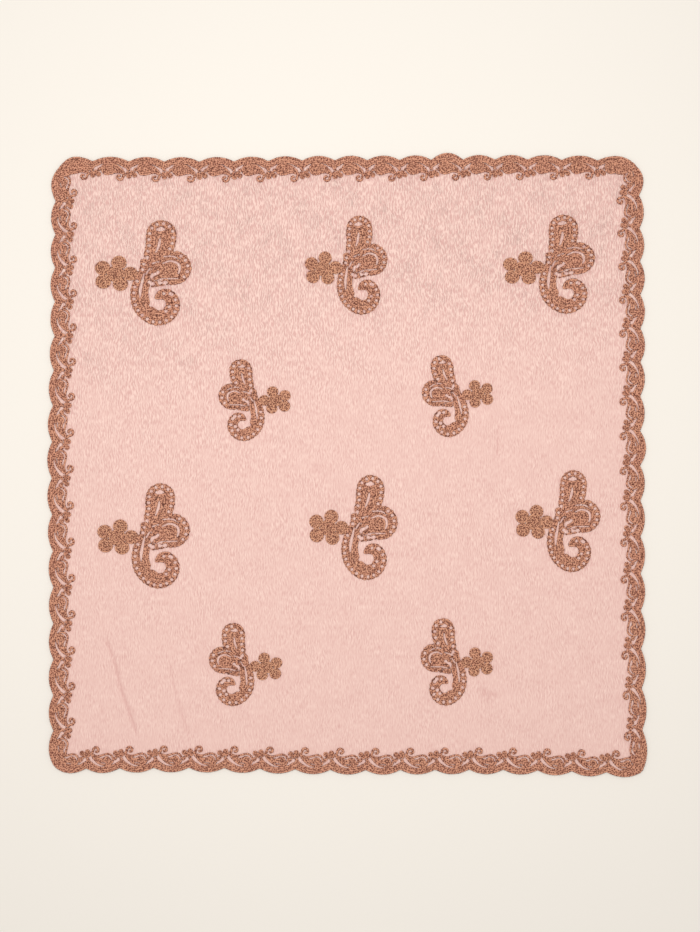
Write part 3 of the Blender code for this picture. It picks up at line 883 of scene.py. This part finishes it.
def crepe_mesh(settings):
    """The cloth: its puckered and creased face, its walls and its flat back."""
    edges = {name: Edge(name) for name in SIDES}
    bottom, top, left, right = (
        edges[name].place(edges[name].tip_line(CREPE_SETBACK))[::way]
        for name, way in (("bottom", 1), ("top", -1), ("left", 1), ("right", -1)))
    width, height = np.ptp(np.vstack([bottom, top, left, right]), axis=0)
    columns, rows = round(width / CELL_X), round(height / CELL_Y)
    bottom, top = (spaced_count(line, columns + 1) for line in (bottom, top))
    left, right = (spaced_count(line, rows + 1) for line in (left, right))
    u = np.linspace(0, 1, columns + 1)[None, :, None]
    v = np.linspace(0, 1, rows + 1)[:, None, None]
    flat = ((1 - u) * (1 - v) * bottom[0] + u * (1 - v) * bottom[-1]
            + (1 - u) * v * top[0] + u * v * top[-1])
    fade_x, fade_y = BORDER_FADE / width, BORDER_FADE / height
    for line, gone, fade in ((bottom, u, 1 - smoothstep(v, 0.0, fade_y)),
                             (top, u, smoothstep(v, 1 - fade_y, 1.0)),
                             (left, v, 1 - smoothstep(u, 0.0, fade_x)),
                             (right, v, smoothstep(u, 1 - fade_x, 1.0))):
        line = line.reshape(*gone.shape[:2], 2)
        flat = flat + (line - line[0, 0] - gone * (line[-1, -1] - line[0, 0])) * fade
    x, y = flat[..., 0], flat[..., 1]
    strength = pucker_strength(x, y)
    waves = PUCKERS.at(x, y)
    trough = settings.pucker / MM * strength * np.clip(0.5 - 0.5 * waves, 0.0, 1.0)
    creased = np.zeros(x.shape)
    for crease in CREASES:
        line = spaced(smooth_ribs(crease.points, 6), 2.0, False)
        near = np.minimum.reduce([square_to(x, y, *a, *b) for a, b in zip(line, line[1:])])
        creased += crease.depth * np.exp(-near / crease.width ** 2)
    low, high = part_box("crepe_panel")
    thick = (high.z - low.z) / MM
    z = thick + lie(x, y) - np.minimum(trough + creased, thick * 0.8)
    index = np.arange(x.size).reshape(x.shape)
    quads = np.stack([index[:-1, :-1], index[:-1, 1:], index[1:, 1:], index[1:, :-1]],
                     axis=2).reshape(-1, 4)
    ring = np.concatenate([index[0, :-1], index[:-1, -1], index[-1, :0:-1], index[:0:-1, 0]])
    under = x.size + np.arange(len(ring))
    walls = np.stack([ring, under, np.roll(under, -1), np.roll(ring, -1)], axis=1)
    every_point = np.concatenate([index.ravel(), ring])
    points = np.dstack([x, y, z]).reshape(-1, 3)[every_point]
    points[x.size:, 2] = 0.0
    # The crease level goes to the material as well, which paints shade along the creases.
    mesh = new_mesh("crepe", points, quads.tolist() + walls.tolist() + [under[::-1].tolist()],
                    crinkle=strength.ravel()[every_point], crease=creased.ravel()[every_point])
    mesh.shade_smooth()
    return mesh


# ---- materials

STITCHED = "viscose_thread_stitched"
GROUND_SHADE = "viscose_thread_painted_shade"


def every(size):
    """A pattern's scale, from the size in millimetres of one of its blots."""
    return 1.0 / (size * MM)


def set_inputs(node, inputs):
    """Set or link a node's inputs; another node stands for its first output."""
    for name, value in inputs.items():
        if isinstance(value, bpy.types.Node):
            value = value.outputs[0]
        if isinstance(value, bpy.types.NodeSocket):
            node.id_data.links.new(value, node.inputs[name])
        else:
            node.inputs[name].default_value = value


def add_node(tree, kind, inputs=None, **settings):
    """A node with its settings, its inputs set or linked."""
    node = tree.nodes.new("ShaderNode" + kind)
    for name, value in settings.items():
        setattr(node, name, value)
    set_inputs(node, inputs or {})
    return node


def blend(add, factor, low, high):
    """A colour between two. A mix node takes its colours in 6 and 7 and gives one in 2."""
    low, high = (side if isinstance(side, bpy.types.NodeSocket) else (*side, 1.0)
                 for side in (low, high))
    return add("Mix", {"Factor": factor, 6: low, 7: high}, data_type="RGBA").outputs[2]


def new_material(name, roughness, sheen):
    """A material, its shader, what adds nodes to it, and the place of a point on a piece."""
    material = bpy.data.materials.new(name)
    material.use_nodes = True
    shader = material.node_tree.nodes["Principled BSDF"]
    set_inputs(shader, {"Roughness": roughness, "Sheen Weight": sheen, "Sheen Roughness": 0.5})
    add = partial(add_node, material.node_tree)
    return material, shader, add, add("TexCoord").outputs["Object"]


def crepe_material(settings):
    """Viscose crepe, woven from hard-twisted yarn and boiled: a matt, puckered face, with
    painted highlight on its crinkles and painted shade low in them and in its creases.
    """
    material, shader, add, place = new_material("viscose_crepe_puckered", 0.85, 0.12)
    crinkle = add("Attribute", attribute_name="crinkle")
    wander = add("TexNoise", {"Vector": place, "Scale": every(17.0), "Detail": 1.0})
    shifted = add("VectorMath", {
        0: wander.outputs["Color"], 1: (0.006, 0.0, 0.0)}, operation="MULTIPLY")
    moved = add("VectorMath", {0: place, 1: shifted}, operation="ADD")
    # Yarns lie 0.3 mm apart, too fine to show; the crinkles between them are drawn
    # 0.8 mm wide and 5 mm long.
    fine_place = add("Mapping", {
        "Vector": moved, "Scale": (every(0.8), every(4.6), every(10.0))})
    fine = add("TexNoise", {"Vector": fine_place, "Scale": 1.0, "Detail": 1.0})
    # Between them run wavering ridges, one every 2.4 mm.
    ridge_place = add("Mapping", {
        "Vector": moved, "Scale": (every(7.6), every(22.0), every(10.0))})
    ridges = add("TexWave", {
        "Vector": ridge_place, "Scale": 1.0, "Distortion": 5.0, "Detail": 1.0,
        "Detail Scale": 2.5})
    level = add("Math", {0: ridges.outputs["Fac"], 1: 0.4, 2: -1.7}, operation="MULTIPLY_ADD")
    streaks = add("Math", {0: fine, 1: 3.0, 2: level}, operation="MULTIPLY_ADD")
    height = add("Math", {0: streaks, 1: crinkle.outputs["Fac"]}, operation="MULTIPLY")
    bump = add("Bump", {"Strength": 1.0, "Distance": 0.00025, "Height": height})
    mottle = add("TexNoise", {"Vector": place, "Scale": every(18.0), "Detail": 1.0})
    # Painted shade: the creases are painted darker pink, on top of their real troughs.
    crease = add("Attribute", attribute_name="crease")
    crease_shade = add("Math", {
        0: crease.outputs["Fac"], 1: -0.8, 2: 0.34}, operation="MULTIPLY_ADD")
    mottle_and_crease_shade = add("Math", {0: mottle, 1: 0.3, 2: crease_shade}, operation="MULTIPLY_ADD")
    # Painted highlight and shade: the cloth is painted beige on top of its crinkles and pink
    # low in them; the mottle is the cloth's own uneven tone.
    shade_and_mottle_mix = add("Math", {
        0: height, 1: 1.7, 2: mottle_and_crease_shade}, operation="MULTIPLY_ADD", use_clamp=True)
    tint = blend(add, shade_and_mottle_mix, settings.pink_shade_and_mottle, settings.beige_highlight_and_mottle)
    set_inputs(shader, {"Base Color": tint, "Normal": bump})
    return material


def thread_material(settings):
    """Viscose embroidery thread, machine stitched: a soft gleam along each raised row, and
    painted shade low between the rows and stitches.
    """
    material, shader, add, place = new_material(STITCHED, 0.62, 0.1)
    relief = add("Attribute", attribute_name="relief")
    tan = add("Attribute", attribute_name="tan")
    # Stitches lie about 0.5 mm apart; they are drawn as flecks of about 1.3 mm, which bump the
    # thread and paint highlight and shade on it.
    flecks = add("TexNoise", {
        "Vector": place, "Scale": every(1.3), "Detail": 2.0, "Roughness": 0.6})
    patches = add("TexNoise", {"Vector": place, "Scale": every(26.0), "Detail": 2.0})
    mixed = add("Math", {0: patches, 1: 0.9, 2: -0.25}, operation="MULTIPLY_ADD")
    tan_mix = add("Math", {0: tan.outputs["Fac"], 1: mixed}, operation="ADD", use_clamp=True)
    crest = blend(add, tan_mix, settings.rosewood, settings.tan)
    fleck_shade = add("Math", {0: flecks, 1: 2.8, 2: -0.42}, operation="MULTIPLY_ADD")
    uneven = add("VectorMath", {
        0: flecks.outputs["Color"], 1: (0.0012, 0.0012, 0.0), 2: place},
        operation="MULTIPLY_ADD")
    # The needle leaves holes about 0.5 mm wide, 2 mm apart; they are drawn 1.2 mm wide, as dots
    # of painted shade.
    holes = add("TexVoronoi", {
        "Vector": uneven, "Scale": every(2.0), "Randomness": 0.8}, voronoi_dimensions="2D")
    hole_shade = add("MapRange", {
        "Value": holes, "From Min": 0.18, "From Max": 0.42, "To Min": -0.1, "To Max": 1.25})
    shade = add("Math", {0: fleck_shade, 1: hole_shade}, operation="MULTIPLY")
    # Painted shade: the thread is painted the dark valley colour where its relief is low,
    # between rows and stitches, and in the dots, and the crest colour on top.
    tone = add("Math", {
        0: shade, 1: relief.outputs["Fac"]}, operation="MULTIPLY", use_clamp=True)
    shaded = blend(add, tone, settings.valley_shade, crest)
    bump = add("Bump", {"Strength": 0.5, "Distance": 0.0003, "Height": flecks})
    set_inputs(shader, {"Base Color": shaded, "Normal": bump})
    return material


def ground_material(settings):
    """The lace's lowest thread, packed flat: dull, and painted dark as the shade between the
    raised rows.
    """
    material, shader, add, place = new_material(GROUND_SHADE, 0.8, 0.05)
    # The thread is 0.3 mm thick; its loops are drawn as blots of about 1.6 mm, of rosewood
    # thread on the painted shade.
    weave = add("TexNoise", {"Vector": place, "Scale": every(1.6), "Detail": 1.0})
    lit_blots = add("MapRange", {"Value": weave, "From Min": 0.38, "From Max": 0.74})
    tint = blend(add, lit_blots, settings.ground, settings.rosewood)
    set_inputs(shader, {"Base Color": tint})
    return material


def floor_material(settings):
    """Matt card, sprayed cream: even, with no grain to see."""
    material, shader, add, place = new_material("card_matt_cream", 0.95, 0.0)
    cloud = add("TexNoise", {"Vector": place, "Scale": every(330.0), "Detail": 1.0})
    tint = blend(add, cloud, settings.floor, settings.floor_shade)
    set_inputs(shader, {"Base Color": tint, "Specular IOR Level": 0.1})
    return material


# ---- pieces

def add_object(name, data):
    made = bpy.data.objects.new(name, data)
    bpy.context.scene.collection.objects.link(made)
    return made


def add_piece(mesh, material, node):
    """A piece of the bandana that stands for a CAD node and rides on its body."""
    mesh.materials.append(material)
    piece = add_object(mesh.name, mesh)
    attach(piece, "root")
    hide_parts(node)
    return piece


def check_box(pieces, node):
    """Stop if pieces reach further than they may past the CAD solid, or fall short."""
    points = [piece.matrix_world @ Vector(c) for piece in pieces for c in piece.bound_box]
    low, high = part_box(node)
    for axis in (0, 1):
        values = [point[axis] for point in points]
        off = max(abs(min(values) - low[axis]), abs(max(values) - high[axis])) / MM
        if off > BOX_SLACK:
            raise RuntimeError(f"{node} is {off:.1f} mm off its CAD solid on axis {axis}")


# ---- settings

def size(name, description, default):
    return FloatProperty(name=name, description=description, default=default,
                         min=0.0, unit="LENGTH", precision=5)


def colour(name, description, code):
    return FloatVectorProperty(name=name, description=description, subtype="COLOR",
                               size=3, min=0.0, max=1.0, default=linear(code))


class CrepeSettings(bpy.types.PropertyGroup):
    lie: size("Lie", "How far the cloth lifts off the surface at most", 0.0009)
    pucker: size("Pucker depth", "How deep the puckers are at most", 0.0002)
    # Painted shade and highlight: pink is painted low in the crinkles and in the creases, beige
    # on top of the crinkles; between the two also lies the cloth's own mottle.
    pink_shade_and_mottle: colour("Pink", "The cloth low in its crinkles", "#E2B4AC")
    beige_highlight_and_mottle: colour("Beige", "The cloth on top of them", "#FAD7CC")


class LaceSettings(bpy.types.PropertyGroup):
    stitch: size("Stitch", "Length of one stitch along a row", 0.0022)
    row_spacing: size("Row spacing", "From one row to the next", 0.0022)
    row_width: size("Row width", "Width of a raised row", 0.0019)
    rim_width: size("Rim width", "Width of the cord round each shape", 0.0019)
    row_height: size("Row height", "How far a row stands up", 0.0007)
    rosewood: colour("Rosewood", "Thread on top of a row", "#DA987B")
    tan: colour("Tan", "Paler thread of the flowers", "#E0A581")
    # Painted shade: valley is the thread painted dark, low between rows and stitches.
    valley_shade: colour("Valley", "Thread low between rows", "#661F0E")
    # Painted shade: the ground is painted dark as the shade that shows between the raised rows.
    ground: colour("Ground", "Thread of the lowest layer", "#5E2A18")


class StageSettings(bpy.types.PropertyGroup):
    floor: colour("Floor", "The card that the bandana lies on", "#F7F1E9")
    floor_shade: colour("Floor shade", "Its other, nearly equal tone", "#F6F0E8")
    distance: size("Camera distance", "From the camera to the cloth", 1.5)
    frame_height: size("View height", "Height of what the camera sees", 0.877)
    key_power: FloatProperty(name="Key light", description="Power of the large soft light",
                             default=8.2, min=0.0, unit="POWER")
    fill: FloatProperty(name="Fill light", description="Strength of the even light all round",
                        default=0.62, min=0.0, max=5.0)


# ---- operators

class BANDANA_OT_crepe(bpy.types.Operator):
    """Make the puckered square of crepe"""
    bl_idname = "bandana.crepe"
    bl_label = "Crepe"

    def execute(self, context):
        settings = context.scene.bandana_crepe
        piece = add_piece(crepe_mesh(settings), crepe_material(settings), "crepe_panel")
        check_box([piece], "crepe_panel")
        return {"FINISHED"}


class BANDANA_OT_edging(bpy.types.Operator):
    """Make the four strips of lace edging"""
    bl_idname = "bandana.edging"
    bl_label = "Lace edging"

    def execute(self, context):
        for name in SIDES:
            make_edging(Edge(name))
        return {"FINISHED"}


class BANDANA_OT_appliques(bpy.types.Operator):
    """Make the ten lace appliques"""
    bl_idname = "bandana.appliques"
    bl_label = "Lace appliques"

    def execute(self, context):
        made = {False: applique_work(1.0, SEED + 20),
                True: applique_work(SMALL_STRETCH, SEED + 21)}
        for spot in SPOTS:
            make_applique(spot, *made[spot.mirrored])
        return {"FINISHED"}


class BANDANA_OT_stage(bpy.types.Operator):
    """Make the floor, the lights and the camera"""
    bl_idname = "bandana.stage"
    bl_label = "Stage"

    def execute(self, context):
        scene = context.scene
        settings = scene.bandana_stage
        mesh = bpy.data.meshes.new("floor")
        form = bmesh.new()
        bmesh.ops.create_grid(form, x_segments=8, y_segments=8, size=FLOOR_HALF)
        form.to_mesh(mesh)
        form.free()
        mesh.materials.append(floor_material(settings))
        floor = add_object("floor", mesh)
        floor.location.z = -FLOOR_DROP

        scene.world = bpy.data.worlds.new("studio")
        scene.world.use_nodes = True
        set_inputs(scene.world.node_tree.nodes["Background"],
                   {"Color": SKY_TINT, "Strength": settings.fill})

        lamp = bpy.data.lights.new("key", "AREA")
        lamp.shape = "DISK"
        lamp.size = KEY_SIZE
        lamp.energy = settings.key_power
        lamp.color = KEY_TINT
        add_object("key", lamp).location = KEY_PLACE

        camera = add_object("camera", bpy.data.cameras.new("camera"))
        camera.location = Vector(CAMERA_TARGET) + settings.distance * Vector(
            (0.0, -math.sin(CAMERA_TILT), math.cos(CAMERA_TILT)))
        camera.rotation_euler = (CAMERA_TILT, 0.0, 0.0)
        camera.data.lens = SENSOR * settings.distance / settings.frame_height
        scene.camera = camera
        scene.view_settings.view_transform = "Standard"
        return {"FINISHED"}


class BANDANA_PT_sidebar(bpy.types.Panel):
    """The bandana's pieces and their settings"""
    bl_idname = "BANDANA_PT_sidebar"
    bl_label = "Bandana"
    bl_space_type = "VIEW_3D"
    bl_region_type = "UI"
    bl_category = "Bandana"

    def draw(self, context):
        for operator, group in GROUPS:
            box = self.layout.box()
            box.operator(operator.bl_idname)
            if group:
                settings = getattr(context.scene, group)
                for name in settings.__annotations__:
                    box.prop(settings, name)


GROUPS = (
    (BANDANA_OT_crepe, "bandana_crepe"),
    (BANDANA_OT_edging, "bandana_lace"),
    (BANDANA_OT_appliques, None),
    (BANDANA_OT_stage, "bandana_stage"),
)
SETTINGS = {"bandana_crepe": CrepeSettings, "bandana_lace": LaceSettings,
            "bandana_stage": StageSettings}
CLASSES = (*SETTINGS.values(), *(operator for operator, _ in GROUPS), BANDANA_PT_sidebar)


def register():
    for item in CLASSES:
        bpy.utils.register_class(item)
    for name, group in SETTINGS.items():
        setattr(bpy.types.Scene, name, PointerProperty(type=group))


def unregister():
    for name in SETTINGS:
        delattr(bpy.types.Scene, name)
    for item in reversed(CLASSES):
        bpy.utils.unregister_class(item)


def main():
    register()
    bpy.ops.bandana.crepe()
    bpy.ops.bandana.edging()
    bpy.ops.bandana.appliques()
    bpy.ops.bandana.stage()


if __name__ == "__main__":
    main()
